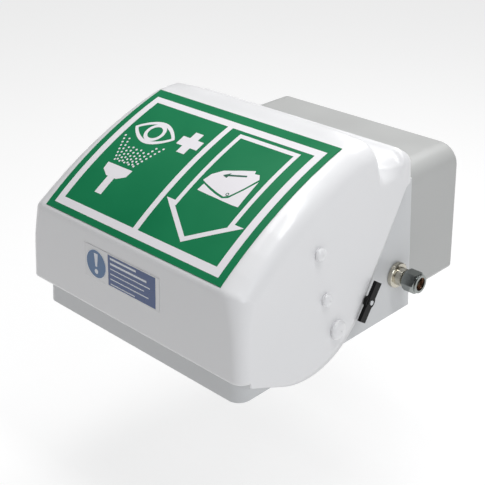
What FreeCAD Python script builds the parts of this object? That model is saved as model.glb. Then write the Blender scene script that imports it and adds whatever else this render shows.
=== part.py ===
import FreeCAD, Part
import math
import os
import Sketcher
from FreeCAD import Placement, Rotation, Vector

# Wall-mounted eye and face wash with a hinged hood over a closed bowl.
# Each piece is drawn on a bench frame: X to the user's right, Y from the hood's front foot (0) to the
# wall, Z up from the bowl's bottom edge (0). One placement then moves every piece so that the
# origin is the centre of the wall fixing, on the wall's face.

doc = FreeCAD.newDocument("EyewashStation")

sizes = {
    # whole station
    "overall_depth": 421.0,
    "fixing_height": 90.0,
    "running": 0.05,
    "seat_gap": 0.2,
    # hood
    "hood_half_width": 184.7,
    "hood_draft": 0.065,
    "hood_wall": 3.5,
    "hood_foot_z": 35.0,
    "panel_front_y": 4.5,
    "panel_front_z": 134.5,
    "panel_rear_y": 200.0,
    "panel_rear_z": 235.5,
    "panel_radius": 570.0,
    "crown_rear_y": 229.0,
    "crest_z": 241.0,
    "crest_half_width": 152.0,
    "roll_y": 286.0,
    "roll_z": 212.0,
    "hood_rear_y": 301.0,
    "hood_rear_z": 199.0,
    "hood_hem_z": 171.0,
    "hem_front_y": 284.4,
    "apex_y": 145.9,
    "apex_z": -28.8,
    "apex_round": 111.0,
    "hood_edge_round": 26.0,
    "hood_corner_round": 16.0,
    "groove_y": 249.0,
    "groove_z": 204.0,
    # hinge line of the hood
    "pivot_y": 153.8,
    "pivot_z": 39.5,
    "hood_travel": 100.0,
    "arm_plate": 2.0,
    "arm_foot_round": 14.0,
    "arm_tip_round": 10.0,
    "upper_bolt_y": 127.5,
    "upper_bolt_z": 142.0,
    "lower_bolt_y": 136.5,
    "lower_bolt_z": 84.0,
    "arm_bolt_radius": 2.5,
    "spindle_radius": 4.0,
    "stop_radius": 3.3,
    "stop_distance": 20.0,
    "stop_lead": 164.0,
    # bowl base
    "base_half_width": 170.6,
    "base_draft": 0.047,
    "base_front_y": 11.6,
    "base_front_draft": 0.061,
    "base_rear_y": 315.0,
    "base_wall": 3.5,
    "rim_front_z": 88.0,
    "rim_rear_y": 285.0,
    "rim_rear_z": 168.0,
    "base_corner_round": 16.0,
    "basin_half_width": 132.0,
    "basin_front_y": 34.0,
    "basin_back_y": 288.0,
    "basin_front_floor_z": 26.0,
    "basin_floor_z": 17.0,
    "basin_flat_y": 212.0,
    "basin_corner_round": 24.0,
    "drain_y": 250.0,
    # rear casing and wall bracket
    "casing_half_width": 158.8,
    "casing_draft": 0.03,
    "casing_bottom_z": 4.0,
    "casing_top_z": 175.5,
    "casing_round": 26.0,
    "casing_wall": 3.0,
    "bracket_half_width": 118.0,
    "bracket_plate": 2.5,
    "bracket_flange": 26.0,
    "fixing_half_x": 95.0,
    "fixing_half_z": 45.0,
    "fixing_hole": 4.0,
    "casing_bolt_x": 112.0,
    "casing_bolt_low_z": 36.0,
    "casing_bolt_high_z": 134.0,
    "casing_bolt_radius": 3.0,
    # pipework: 15 mm tube along the right-hand side
    "pipe_x": 149.0,
    "pipe_z": 53.0,
    "inlet_y": 284.0,
    "regulator_y": 209.0,
    "outlet_y": 124.0,
    "tube_radius": 7.5,
    "tube_wall": 0.7,
    "socket_wall": 2.5,
    "socket_depth": 7.0,
    "valve_half_length": 15.0,
    "valve_radius": 12.5,
    "ball_radius": 8.5,
    "port_radius": 4.5,
    "waste_radius": 20.95,
    "waste_bore": 17.0,
    "waste_tail_z": -40.0,
    # spray heads
    "head_x": 46.0,
    "riser_top_z": 66.0,
    "head_radius": 26.0,
    "head_top_z": 94.0,
    # regulating lever
    "lever_face_x": 189.8,
    "lever_blade": 4.5,
    "lever_neck": 5.2,
    "lever_length": 50.0,
    "lever_width": 11.0,
    "lever_hub": 8.6,
    "lever_angle": 56.0,
    # sheets stuck on the hood
    "sign_width": 297.0,
    "sign_thick": 0.6,
    "label_thick": 0.4,
    "label_width": 130.0,
    "label_height": 42.0,
    "label_x": -6.0,
    "label_z": 95.5,
}

sheet = doc.addObject("Spreadsheet::Sheet", "Sizes")
for row, (alias, value) in enumerate(sizes.items(), start=1):
    sheet.set(f"A{row}", alias)
    sheet.set(f"B{row}", str(value))
    sheet.setAlias(f"B{row}", alias)
doc.recompute()


class Dim:
    """A length: its number now, and the sheet expression that keeps it bound."""

    def __init__(self, number, text):
        self.number = float(number)
        self.text = text

    def __add__(self, other):
        other = dim(other)
        return Dim(self.number + other.number, f"({self.text} + {other.text})")

    def __sub__(self, other):
        other = dim(other)
        return Dim(self.number - other.number, f"({self.text} - {other.text})")

    def __mul__(self, other):
        other = dim(other)
        return Dim(self.number * other.number, f"({self.text} * {other.text})")

    def __truediv__(self, other):
        other = dim(other)
        return Dim(self.number / other.number, f"({self.text} / {other.text})")

    def __neg__(self):
        return dim(0) - self

    def __radd__(self, other):
        return dim(other) + self

    def __rsub__(self, other):
        return dim(other) - self

    def __rmul__(self, other):
        return dim(other) * self

    def cosine(self):
        return Dim(math.cos(math.radians(self.number)), f"cos({self.text})")

    def sine(self):
        return Dim(math.sin(math.radians(self.number)), f"sin({self.text})")

    def root(self):
        return Dim(self.number ** 0.5, f"sqrt({self.text})")


def dim(value):
    if isinstance(value, Dim):
        return value
    text = f"{value:.6f}"
    return Dim(value, f"({text})" if value < 0 else text)


class Book:
    """The sheet's cells by name."""

    def __getattr__(self, alias):
        return Dim(sizes[alias], f"Sizes.{alias}")


S = Book()
nodes = []
counter = [0]


def name(stem):
    counter[0] += 1
    return f"{stem}_{counter[0]:03d}"


def bind(thing, prop, value):
    thing.setExpression(prop, dim(value).text)


TURNS = {
    "Z": Rotation(),
    "-Z": Rotation(Vector(1, 0, 0), 180),
    "X": Rotation(Vector(0, 1, 0), 90),
    "-X": Rotation(Vector(0, 1, 0), -90),
    "Y": Rotation(Vector(1, 0, 0), -90),
    "-Y": Rotation(Vector(1, 0, 0), 90),
}


def put(thing, at=(0, 0, 0), turn=Rotation(), on_wall=False):
    """Place a thing on the bench, or move it on to the wall frame."""
    thing.Placement = Placement(Vector(*[dim(c).number for c in at]), turn)
    shift = (dim(0), -S.overall_depth, -S.fixing_height) if on_wall else (dim(0),) * 3
    for axis, place, move in zip("xyz", at, shift):
        bind(thing, f"Placement.Base.{axis}", dim(place) + move)
    return thing


def node(thing, label, at=(0, 0, 0), turn=Rotation()):
    thing.Label = label
    put(thing, at, turn, on_wall=True)
    nodes.append(thing)
    return thing


# ---- sketches -------------------------------------------------------------------------------


def fix_point(sketch, geometry, end, point):
    """Hold a sketch point at its distances from the sketch's origin."""
    for kind, value in (("DistanceX", point[0]), ("DistanceY", point[1])):
        value = dim(value)
        constraint = Sketcher.Constraint(kind, -1, 1, geometry, end, value.number)
        index = sketch.addConstraint(constraint)
        sketch.setExpression(f"Constraints[{index}]", value.text)


def draw_outline(sketch, points):
    """A closed outline. A point may carry a third value: the radius of an arc to the next point,
    positive when the arc bulges to the left of the way there."""
    count = len(points)
    corners = [Vector(dim(p[0]).number, dim(p[1]).number, 0) for p in points]
    for i, point in enumerate(points):
        a, b = corners[i], corners[(i + 1) % count]
        if len(point) == 2:
            sketch.addGeometry(Part.LineSegment(a, b), False)
        else:
            radius = dim(point[2])
            side = 1 if radius.number > 0 else -1
            chord = b - a
            half = chord.Length / 2
            rise = abs(radius.number) - (radius.number ** 2 - half ** 2) ** 0.5
            left = Vector(-chord.y, chord.x, 0).normalize()
            crown = (a + b) * 0.5 + left * (rise * side)
            sketch.addGeometry(Part.Arc(a, crown, b), False)
    ends = []
    for i, corner in enumerate(corners):
        ends.append((end_near(sketch, (i - 1) % count, corner), end_near(sketch, i, corner)))
    for i, point in enumerate(points):
        before = (i - 1) % count
        sketch.addConstraint(Sketcher.Constraint("Coincident", before, ends[i][0], i, ends[i][1]))
        fix_point(sketch, i, ends[i][1], point)
    for i, point in enumerate(points):
        if len(point) > 2:
            radius = dim(point[2])
            size = radius if radius.number > 0 else -radius
            index = sketch.addConstraint(Sketcher.Constraint("Radius", i, size.number))
            sketch.setExpression(f"Constraints[{index}]", size.text)


def end_near(sketch, index, point):
    """1 for a curve's first end, 2 for its second, whichever lies at the point."""
    first = (sketch.getPoint(index, 1) - point).Length
    second = (sketch.getPoint(index, 2) - point).Length
    return 1 if first < second else 2


def draw_circle(sketch, centre, radius):
    radius = dim(radius)
    middle = Vector(dim(centre[0]).number, dim(centre[1]).number, 0)
    index = sketch.addGeometry(Part.Circle(middle, Vector(0, 0, 1), radius.number), False)
    size = sketch.addConstraint(Sketcher.Constraint("Radius", index, radius.number))
    sketch.setExpression(f"Constraints[{size}]", radius.text)
    fix_point(sketch, index, 3, centre)


def free_sketch(points, turn):
    sketch = doc.addObject("Sketcher::SketchObject", name("Outline"))
    sketch.Placement = Placement(Vector(), turn)
    draw_outline(sketch, points)
    return sketch


# ---- pieces from bodies ---------------------------------------------------------------------


def new_body():
    return doc.addObject("PartDesign::Body", name("Body"))


def plane_sketch(body, role, lift=0):
    plane = next(f for f in body.Origin.OriginFeatures if f.Role == role)
    sketch = body.newObject("Sketcher::SketchObject", name("Sketch"))
    sketch.AttachmentSupport = [(plane, "")]
    sketch.MapMode = "FlatFace"
    bind(sketch, "AttachmentOffset.Base.z", lift)
    return sketch


def pad(body, sketch, length, reverse=False, middle=False):
    feature = body.newObject("PartDesign::Pad", name("Pad"))
    feature.Profile = sketch
    feature.Reversed = reverse
    feature.Midplane = middle
    bind(feature, "Length", length)
    body.Tip = feature
    return feature


def pocket(body, sketch, length, reverse=False, middle=False):
    feature = body.newObject("PartDesign::Pocket", name("Pocket"))
    feature.Profile = sketch
    feature.Reversed = reverse
    feature.Midplane = middle
    bind(feature, "Length", length)
    body.Tip = feature
    return feature


def turned(profile):
    """A body turned about its own Z from (radius, height) points."""
    body = new_body()
    sketch = plane_sketch(body, "XZ_Plane")
    draw_outline(sketch, profile)
    feature = body.newObject("PartDesign::Revolution", name("Revolution"))
    feature.Profile = sketch
    feature.ReferenceAxis = (sketch, ["V_Axis"])
    feature.Angle = 360
    body.Tip = feature
    return body


def ring(outer, inner, low, high):
    """Points of a plain collar."""
    return [(inner, low), (outer, low), (outer, high), (inner, high)]


def rod(radius, low, high):
    return [(0, low), (radius, low), (radius, high), (0, high)]


def hexagon(across_flats):
    """Corner points of a hexagon, its corners up and down."""
    half = dim(across_flats) / 2
    side = half * 1.154701
    return [(half, side / 2), (0, side), (-half, side / 2), (-half, -side / 2), (0, -side), (half, -side / 2)]


def hex_nut(across_flats, bore, low, high):
    """A hexagonal nut about its own Z, with its corners turned down at both ends."""
    body = new_body()
    sketch = plane_sketch(body, "XY_Plane", low)
    draw_outline(sketch, hexagon(across_flats))
    draw_circle(sketch, (0, 0), bore)
    pad(body, sketch, dim(high) - low)
    corner = dim(across_flats) / 2 * 1.154701
    limit = plane_sketch(body, "XZ_Plane")
    flat = dim(across_flats) / 2 * 0.98
    outside = corner + 0.3
    draw_outline(limit, [(flat, low), (outside, low), (outside, dim(low) + (outside - flat) * 0.577)])
    lower = body.newObject("PartDesign::Groove", name("Groove"))
    lower.Profile = limit
    lower.ReferenceAxis = (limit, ["V_Axis"])
    lower.Angle = 360
    body.Tip = lower
    limit = plane_sketch(body, "XZ_Plane")
    draw_outline(limit, [(flat, high), (outside, dim(high) - (outside - flat) * 0.577), (outside, high)])
    upper = body.newObject("PartDesign::Groove", name("Groove"))
    upper.Profile = limit
    upper.ReferenceAxis = (limit, ["V_Axis"])
    upper.Angle = 360
    body.Tip = upper
    return body


# ---- pieces from primitives and booleans ----------------------------------------------------


def slab_x(points, half_width):
    """A (y, z) outline carried along X, the same distance each way."""
    block = doc.addObject("Part::Extrusion", name("AlongX"))
    block.Base = free_sketch(points, Rotation(Vector(1, 1, 1), 120))
    block.DirMode = "Custom"
    block.Dir = Vector(1, 0, 0)
    block.Symmetric = True
    block.Solid = True
    bind(block, "LengthFwd", dim(half_width) * 2)
    return block


def slab_y(points, front, back):
    """An (x, z) outline carried along Y from front to back."""
    block = doc.addObject("Part::Extrusion", name("AlongY"))
    block.Base = free_sketch(points, Rotation(Vector(1, 0, 0), 90))
    block.DirMode = "Custom"
    block.Dir = Vector(0, 1, 0)
    block.Solid = True
    bind(block, "LengthFwd", back)
    bind(block, "LengthRev", -dim(front))
    return block


def wedge(half_width, draft, foot, low, high, inset=0):
    """A front outline whose sides lean in by the draft, at half_width where z is foot."""
    def edge(height):
        return half_width - draft * (dim(height) - foot) - inset
    return [(-edge(low), low), (edge(low), low), (edge(high), high), (-edge(high), high)]


def common(*things):
    meet = doc.addObject("Part::MultiCommon", name("Common"))
    meet.Shapes = list(things)
    return meet


def fuse(*things):
    joined = doc.addObject("Part::MultiFuse", name("Fuse"))
    joined.Shapes = list(things)
    joined.Refine = True
    return joined


def cut(base, *tools):
    tool = tools[0] if len(tools) == 1 else fuse(*tools)
    left = doc.addObject("Part::Cut", name("Cut"))
    left.Base = base
    left.Tool = tool
    return left


def group(*things):
    several = doc.addObject("Part::Compound", name("Group"))
    several.Links = list(things)
    return several


def bar(at, axis, radius, length):
    """A cylinder from a point along a bench axis."""
    post = doc.addObject("Part::Cylinder", name("Bar"))
    bind(post, "Radius", radius)
    bind(post, "Height", length)
    return put(post, at, TURNS[axis])


def ball(at, radius):
    globe = doc.addObject("Part::Sphere", name("Ball"))
    bind(globe, "Radius", radius)
    return put(globe, at)


def rounded(base, wanted):
    """Fillet the edges that each (test, radius) pair picks."""
    doc.recompute()
    picked = []
    for index, edge in enumerate(base.Shape.Edges, start=1):
        for test, radius in wanted:
            if test(edge):
                picked.append((index, dim(radius).number, dim(radius).number))
                break
    if not picked:
        raise RuntimeError(f"{base.Name}: no edge to round")
    soft = doc.addObject("Part::Fillet", name("Fillet"))
    soft.Base = base
    soft.Edges = picked
    return soft


def along(edge, axis, tolerance=0.12):
    """True for a straight edge that runs along a bench axis."""
    if edge.Curve.TypeId != "Part::GeomLine":
        return False
    way = edge.Curve.Direction
    lean = {"x": (way.y, way.z), "y": (way.x, way.z), "z": (way.x, way.y)}[axis]
    return max(abs(lean[0]), abs(lean[1])) < tolerance



# ---- hood -----------------------------------------------------------------------------------

hood_lean = math.degrees(math.atan(sizes["hood_draft"]))


def hood_half_width(height):
    """Half the hood's outside width at a height."""
    return S.hood_half_width - S.hood_draft * (dim(height) - S.hood_foot_z)


def cheek_turn(side):
    """The turn that lays a piece's own Z along the outward normal of a cheek."""
    return Rotation(Vector(0, 1, 0), side * (90 - hood_lean))


def on_cheek(side, y, z, depth=0):
    """A point on a cheek's outer face, or so far below it."""
    x = hood_half_width(z) - dim(depth)
    return (x * side, y, dim(z) - S.hood_draft * depth)


def cheek_drill(side, y, z):
    """A drill for an arm's bolt: square to the cheek, through cheek and arm."""
    drill = doc.addObject("Part::Cylinder", name("Drill"))
    bind(drill, "Radius", S.arm_bolt_radius + S.running)
    bind(drill, "Height", 14)
    return put(drill, on_cheek(side, y, z, 11), cheek_turn(side))


def hood_outline():
    """The hood from the side, without the crest that stands on it."""
    return [
        (0, S.hood_foot_z),
        (S.apex_y, S.apex_z),
        (S.hem_front_y, S.hood_hem_z),
        (S.hood_rear_y, S.hood_hem_z),
        (S.hood_rear_y, S.hood_rear_z),
        (S.roll_y, S.roll_z),
        (S.crown_rear_y, S.panel_rear_z + 1.5),
        (S.panel_rear_y, S.panel_rear_z, -S.panel_radius),
        (S.panel_front_y, S.panel_front_z),
    ]


def make_hood():
    wall = S.hood_wall
    top = S.crest_z + 20
    block = common(
        slab_x(hood_outline(), 200),
        slab_y(wedge(S.hood_half_width, S.hood_draft, S.hood_foot_z, -40, top), -20, 320),
    )

    def cheek_edge(edge):
        middle = edge.CenterOfMass
        return abs(middle.x) > 150 and edge.BoundBox.XLength < 12 and middle.z > 60

    def front_corner(edge):
        return cheek_edge(edge) and edge.BoundBox.YMax < 12

    def roof_edge(edge):
        return cheek_edge(edge) and edge.CenterOfMass.z > 172

    def cross_edge(y, z):
        def test(edge):
            middle = edge.CenterOfMass
            near = abs(middle.y - dim(y).number) < 1 and abs(middle.z - dim(z).number) < 1
            return near and edge.BoundBox.XLength > 50
        return test

    soft = rounded(block, [(front_corner, S.hood_corner_round), (roof_edge, S.hood_edge_round)])
    soft = rounded(soft, [(cross_edge(S.apex_y, S.apex_z), S.apex_round)])
    crest = slab_x([
        (S.panel_rear_y - 8, S.panel_rear_z - 6),
        (S.crown_rear_y + 6, S.panel_rear_z - 8),
        (S.crown_rear_y + 2, S.crest_z),
        (S.panel_rear_y + 4, S.crest_z - 0.5),
    ], S.crest_half_width)
    crest = rounded(crest, [
        (lambda e: e.BoundBox.XLength < 1 and e.BoundBox.ZMin > S.crest_z.number - 2, 7),
    ])
    groove = slab_x([
        (S.crown_rear_y + 2, S.crest_z + 5),
        (S.groove_y - 8, S.groove_z + 6),
        (S.groove_y - 1, S.groove_z),
        (S.groove_y + 8, S.groove_z + 0.5),
        (S.roll_y - 6, S.roll_z - 2),
        (S.roll_y - 1, S.roll_z + 8),
        (S.roll_y - 8, S.crest_z + 5),
    ], 200)
    front_hollow = common(
        slab_x([
            (wall, -40),
            (S.roll_y + 12, -40),
            (S.crown_rear_y + 2, S.groove_z - 6),
            (S.crown_rear_y + 2, S.panel_rear_z + 1.5 - wall * 1.6),
            (S.panel_rear_y + 1, S.panel_rear_z - wall, wall - S.panel_radius),
            (S.panel_front_y + wall, S.panel_front_z - wall * 0.6),
        ], 200),
        slab_y(wedge(S.hood_half_width, S.hood_draft, S.hood_foot_z, -40, top, wall), -20, 320),
    )
    front_hollow = rounded(front_hollow, [
        (lambda e: abs(e.CenterOfMass.x) > 150 and e.BoundBox.YMax < 12 and e.BoundBox.ZLength > 50,
         S.hood_corner_round - wall),
        (lambda e: cheek_edge(e) and e.CenterOfMass.z > 172 and e.BoundBox.YLength > 10, S.hood_edge_round - 2),
    ])
    rear_hollow = common(
        slab_x([
            (S.crown_rear_y - 30, 0),
            (S.hood_rear_y - wall - 0.5, 0),
            (S.hood_rear_y - wall - 0.5, S.groove_z - wall - 3),
            (S.crown_rear_y - 30, S.groove_z - wall - 3),
        ], 200),
        slab_y(wedge(S.hood_half_width, S.hood_draft, S.hood_foot_z, -40, top, wall), -20, 320),
    )
    rear_hollow = rounded(rear_hollow, [
        (lambda e: cheek_edge(e) and (e.CenterOfMass.z > 172 or e.CenterOfMass.y > 280), S.hood_edge_round - 3),
    ])
    holes = []
    for side in (1, -1):
        for y, z in ((S.upper_bolt_y, S.upper_bolt_z), (S.lower_bolt_y, S.lower_bolt_z)):
            holes.append(cheek_drill(side, y, z))
        hole = doc.addObject("Part::Cylinder", name("Hole"))
        bind(hole, "Radius", S.spindle_radius + 2.5)
        bind(hole, "Height", 30)
        start = hood_half_width(S.pivot_z) - 15
        axis = "X" if side > 0 else "-X"
        holes.append(put(hole, (start * side, S.pivot_y, S.pivot_z), TURNS[axis]))
    shell = cut(cut(cut(fuse(soft, crest), groove), front_hollow), rear_hollow)
    return node(cut(shell, *holes), "hood")


# ---- hinge of the hood ----------------------------------------------------------------------


def make_arm(side, label):
    """A tapered plate that lies on the inside of a cheek, with a hub on the hinge line."""
    plate = doc.addObject("Part::Extrusion", name("Plate"))
    foot = S.arm_foot_round
    tip = S.arm_tip_round
    run_y = S.upper_bolt_y - S.pivot_y
    run_z = S.upper_bolt_z - S.pivot_z
    length = (run_y * run_y + run_z * run_z).root()
    across_y = run_z / length
    across_z = -run_y / length
    plate.Base = free_sketch([
        (-across_y * foot, -across_z * foot),
        (across_y * foot, across_z * foot),
        (run_y + across_y * tip, run_z + across_z * tip),
        (run_y - across_y * tip, run_z - across_z * tip),
    ], Rotation(Vector(1, 1, 1), 120))
    plate.DirMode = "Custom"
    plate.Dir = Vector(1, 0, 0)
    plate.Solid = True
    bind(plate, "LengthFwd", S.arm_plate)
    ends = []
    for y, z, radius in ((dim(0), dim(0), foot), (run_y, run_z, tip)):
        ends.append(bar((0, y, z), "X", radius, S.arm_plate))
    flat = fuse(plate, *ends)
    inside = hood_half_width(S.pivot_z) - S.hood_wall - S.arm_plate - S.seat_gap
    if side > 0:
        lean = Rotation(Vector(0, 1, 0), -hood_lean)
        put(flat, (inside, S.pivot_y, S.pivot_z), lean)
    else:
        lean = Rotation(Vector(0, 1, 0), hood_lean)
        put(flat, (-inside - S.arm_plate, S.pivot_y, S.pivot_z), lean)
    axis = "X" if side > 0 else "-X"
    hub = bar(((inside - 1.5) * side, S.pivot_y, S.pivot_z), axis, foot - 2, S.arm_plate + 0.5)
    bore = bar(((inside - 6) * side, S.pivot_y, S.pivot_z), axis, S.spindle_radius + S.running, 20)
    drills = [cheek_drill(side, y, z)
              for y, z in ((S.upper_bolt_y, S.upper_bolt_z), (S.lower_bolt_y, S.lower_bolt_z))]
    return node(cut(fuse(flat, hub), bore, *drills), label)


def make_hinge():
    make_arm(1, "hinge_arm_right")
    make_arm(-1, "hinge_arm_left")
    bolts, caps, pivot_caps = [], [], []
    radius = S.arm_bolt_radius
    reach = S.hood_wall + S.arm_plate + S.seat_gap
    for side in (1, -1):
        turn = cheek_turn(side)
        for y, z in ((S.upper_bolt_y, S.upper_bolt_z), (S.lower_bolt_y, S.lower_bolt_z)):
            bolt = turned([(0, -reach), (radius, -reach), (radius, 0), (4.8, 0), (4.2, 2.2), (0, 2.6)])
            bolts.append(put(bolt, on_cheek(side, y, z), turn))
            cap = turned([(5.1, 0), (7.6, 0), (7.6, 1.8), (6.9, 4.4), (4.6, 6.2), (0, 7), (0, 3), (5.1, 3)])
            caps.append(put(cap, on_cheek(side, y, z, -0.05), turn))
        cap = turned([(9.3, 0), (11.6, 0), (11.6, 2.2), (10.4, 5.2), (7, 7.4), (0, 8.2), (0, 6), (9.3, 5)])
        pivot_caps.append(put(cap, on_cheek(side, S.pivot_y, S.pivot_z, -0.05), turn))
    node(group(*bolts), "arm_bolts")
    node(group(*caps), "bolt_caps")
    node(group(*pivot_caps), "pivot_caps")


def base_half_width(height):
    """Half the bowl base's outside width at a height."""
    return S.base_half_width - S.base_draft * dim(height)


def hub_reach():
    """Where a hinge pin ends, inside its cap."""
    return hood_half_width(S.pivot_z) + 1.5


def stop_place():
    """Where a stop peg stands: an arm is at 104 degrees when shut, and half its width leads it."""
    angle = S.hood_travel + S.stop_lead
    return S.pivot_y + S.stop_distance * angle.cosine(), S.pivot_z + S.stop_distance * angle.sine()


def make_pivots():
    """A flanged bush in each side wall; the left one carries the plain stud."""
    wall_out = base_half_width(S.pivot_z)
    wall_in = wall_out - S.base_wall
    spindle = S.spindle_radius
    for side, label in ((1, "pivot_bush_right"), (-1, "pivot_bush_left")):
        bore = spindle + S.running
        inner = wall_in - 1.2
        bush = turned([(bore, inner), (6.4, inner), (6.4, wall_out + 0.6), (9, wall_out + 0.6),
                       (9, wall_out + 2), (bore, wall_out + 2)])
        put(bush, (0, S.pivot_y, S.pivot_z), TURNS["X" if side > 0 else "-X"])
        node(group(bush), label)
    stud = turned([(0, wall_in - 8), (spindle, wall_in - 8), (spindle, hub_reach()), (0, hub_reach())])
    put(stud, (0, S.pivot_y, S.pivot_z), TURNS["-X"])
    node(group(stud), "pivot_stud_left")
    clip = turned(ring(7.5, spindle + 0.01, wall_in - 4.5, wall_in - 1.7))
    put(clip, (0, S.pivot_y, S.pivot_z), TURNS["-X"])
    node(group(clip), "stud_collar_left")
    nuts = []
    for side in (1, -1):
        start = hood_half_width(S.pivot_z) - S.hood_wall + 0.9
        nut = turned(ring(6.3, spindle + 0.01, start, start + 3.4))
        nuts.append(put(nut, (0, S.pivot_y, S.pivot_z), TURNS["X" if side > 0 else "-X"]))
    node(group(*nuts), "pivot_collars")
    pegs = []
    y, z = stop_place()
    for side in (1, -1):
        out = base_half_width(z)
        end = hood_half_width(S.pivot_z) - S.hood_wall - 0.9
        peg = turned([(0, out - S.base_wall - 2), (S.stop_radius, out - S.base_wall - 2), (S.stop_radius, end),
                      (0, end)])
        pegs.append(put(peg, (0, y, z), TURNS["X" if side > 0 else "-X"]))
    node(group(*pegs), "stop_pegs")


# ---- bowl base ------------------------------------------------------------------------------


def base_outline(inset=0, floor=0):
    """The bowl base from the side: front foot, sloping rim, rear shoulder."""
    lean = S.base_front_draft
    slope = (S.rim_rear_z - S.rim_front_z) / (S.rim_rear_y - S.base_front_y)
    front = S.base_front_y + inset
    return [
        (front + lean * floor, floor),
        (S.base_rear_y - inset, floor),
        (S.base_rear_y - inset, S.rim_rear_z - inset),
        (S.rim_rear_y, S.rim_rear_z - inset),
        (front + lean * S.rim_front_z, S.rim_front_z - inset + slope * inset),
    ]


def make_base():
    wall = S.base_wall
    block = common(
        slab_x(base_outline(), 200),
        slab_y(wedge(S.base_half_width, S.base_draft, 0, -5, 200), -10, 330),
    )

    def upright(edge):
        middle = edge.CenterOfMass
        return abs(middle.x) > 150 and edge.BoundBox.ZLength > 60 and edge.BoundBox.YLength < 12

    block = rounded(block, [
        (lambda e: upright(e) and e.CenterOfMass.y < 60, S.base_corner_round),
        (lambda e: upright(e) and e.CenterOfMass.y > 300, 4),
    ])
    hollow = common(
        slab_x(base_outline(wall, -5), 200),
        slab_y(wedge(S.base_half_width, S.base_draft, 0, -10, 200, wall), -10, 330),
    )
    hollow = rounded(hollow, [(lambda e: upright(e) and e.CenterOfMass.y < 60, S.base_corner_round - wall)])
    half = S.basin_half_width
    basin = common(
        slab_x([
            (S.basin_front_y - wall, S.basin_front_floor_z - wall),
            (S.basin_flat_y, S.basin_floor_z - wall),
            (S.basin_back_y + wall, S.basin_floor_z - wall),
            (S.basin_back_y + wall, 220),
            (S.basin_front_y - wall, 220),
        ], half + wall),
        slab_x(base_outline(), half + wall + 5),
    )

    def basin_corner(edge):
        return along(edge, "z", 0.02) and edge.BoundBox.ZLength > 40

    basin = rounded(basin, [(basin_corner, S.basin_corner_round + wall)])
    water = slab_x([
        (S.basin_front_y, S.basin_front_floor_z),
        (S.basin_flat_y, S.basin_floor_z),
        (S.basin_back_y, S.basin_floor_z),
        (S.basin_back_y, 220),
        (S.basin_front_y, 220),
    ], half)
    water = rounded(water, [(basin_corner, S.basin_corner_round)])
    pivot_out = base_half_width(S.pivot_z) + 5
    pipe_out = base_half_width(S.pipe_z) + 5
    stop_y, stop_z = stop_place()
    drills = [
        bar((0, S.drain_y, 0), "Z", S.waste_radius + S.running, 40),
        bar((half - 6, S.outlet_y, S.pivot_z), "X", 8.3, 14),
        bar((pipe_out - 20, S.inlet_y, S.pipe_z), "X", 10.3, 30),
        bar((pipe_out - 20, S.regulator_y, S.pipe_z), "X", 7.3, 30),
    ]
    for side, axis in ((1, "X"), (-1, "-X")):
        drills.append(bar(((pivot_out - 20) * side, S.pivot_y, S.pivot_z), axis, 6.45, 30))
        drills.append(bar(((pivot_out - 20) * side, stop_y, stop_z), axis, S.stop_radius + 0.02, 30))
        drills.append(bar((side * 115, S.rim_rear_y + 8, S.rim_rear_z - 10), "Z", 3.05, 20))
        for z in (S.casing_bolt_low_z, S.casing_bolt_high_z):
            drills.append(bar((S.casing_bolt_x * side, S.base_rear_y - 10, z), "Y",
                              S.casing_bolt_radius + S.running, 30))
    return node(cut(cut(fuse(cut(block, hollow), basin), water), *drills), "bowl_base")


def make_buffers():
    """Rubber buffers on the shoulder, where the hood's rear hem comes to rest."""
    buffers = []
    top = S.hood_hem_z - 0.3
    for side in (1, -1):
        height = top - S.rim_rear_z
        buffer = turned([(0, -S.base_wall - 2), (4.4, -S.base_wall - 2), (3, -S.base_wall), (3, 0.02), (6, 0.02),
                         (6, height - 0.6), (5.4, height), (0, height)])
        buffers.append(put(buffer, (side * 115, S.rim_rear_y + 8, S.rim_rear_z)))
    node(group(*buffers), "hood_buffers")


# ---- waste ----------------------------------------------------------------------------------


def make_waste():
    floor = S.basin_floor_z
    under = floor - S.base_wall
    place = (0, S.drain_y, 0)
    outlet = turned([
        (S.waste_bore, S.waste_tail_z),
        (S.waste_radius, S.waste_tail_z),
        (S.waste_radius, floor + 0.05),
        (30, floor + 0.05),
        (30, floor + 2.2),
        (26.2, floor + 2.2),
        (26.2, floor + 0.9),
        (S.waste_bore, floor + 0.9),
    ])
    node(group(put(outlet, place)), "waste_outlet")
    strainer = new_body()
    disc = plane_sketch(strainer, "XY_Plane", floor + 0.95)
    draw_circle(disc, (0, 0), 26)
    pad(strainer, disc, 1.2)
    slots = plane_sketch(strainer, "XY_Plane", floor)
    rings = ((0, 1), (8, 6), (14.5, 10))
    for distance, count in rings:
        for step in range(count):
            angle = math.radians(360 / count * step)
            draw_circle(slots, (distance * math.cos(angle), distance * math.sin(angle)), 2.2)
    pocket(strainer, slots, 6, reverse=True)
    node(group(put(strainer, place)), "drain_strainer")
    gasket = turned(ring(30, S.waste_radius + 0.02, under - 2.5, under - 0.02))
    node(group(put(gasket, place)), "waste_gasket")
    backnut = hex_nut(58, S.waste_radius + 0.02, under - 12, under - 2.6)
    node(group(put(backnut, place)), "waste_backnut")


# ---- rear casing, wall bracket and what holds them ------------------------------------------


def casing_wedge(inset=0):
    low = S.casing_bottom_z + inset
    high = S.casing_top_z - inset
    return wedge(S.casing_half_width, S.casing_draft, S.casing_bottom_z, low, high, inset)


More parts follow.
